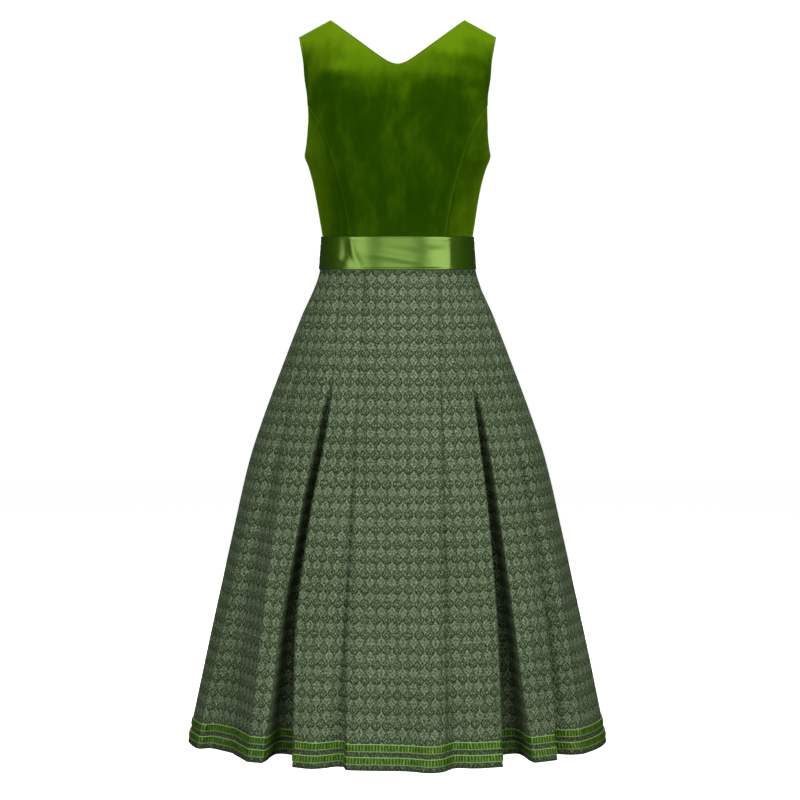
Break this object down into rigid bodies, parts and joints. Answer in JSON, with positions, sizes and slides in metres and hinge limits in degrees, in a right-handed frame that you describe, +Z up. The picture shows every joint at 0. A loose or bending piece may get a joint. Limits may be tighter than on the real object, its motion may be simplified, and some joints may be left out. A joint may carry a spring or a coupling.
{
  "type": "dirndl dress",
  "caption": "Sleeveless midi dirndl dress in its worn, hollow shape: velvet bodice with V necks, smooth satin sash, pleated printed skirt with ruched ribbon trim above the hem.",
  "frame": {"origin": "midway between the two shoulder seams, at the middle of their slope, where the wearer's shoulders hold the dress", "axes": "+Z up, +Y the way the wearer faces, +X to the wearer's right; the back of the dress faces -Y"},
  "size_m": [0.693, 0.541, 1.1846],
  "materials": {
    "velvet": "moss green velvet with a sheen along its nap",
    "satin": "smooth glossy green satin",
    "print": "matt cotton with a small grey green geometric print",
    "ribbon": "ruched satin ribbon with lighter edges"
  },
  "bodies": {
    "root": {"bodice_back": "velvet", "bodice_side_back_left": "velvet", "bodice_side_back_right": "velvet", "bodice_front_left": "velvet", "bodice_front_right": "velvet", "sash": "satin", "skirt_back": "print", "skirt_front": "print", "ribbon_upper": "ribbon", "ribbon_lower": "ribbon"}
  },
  "joints": []
}
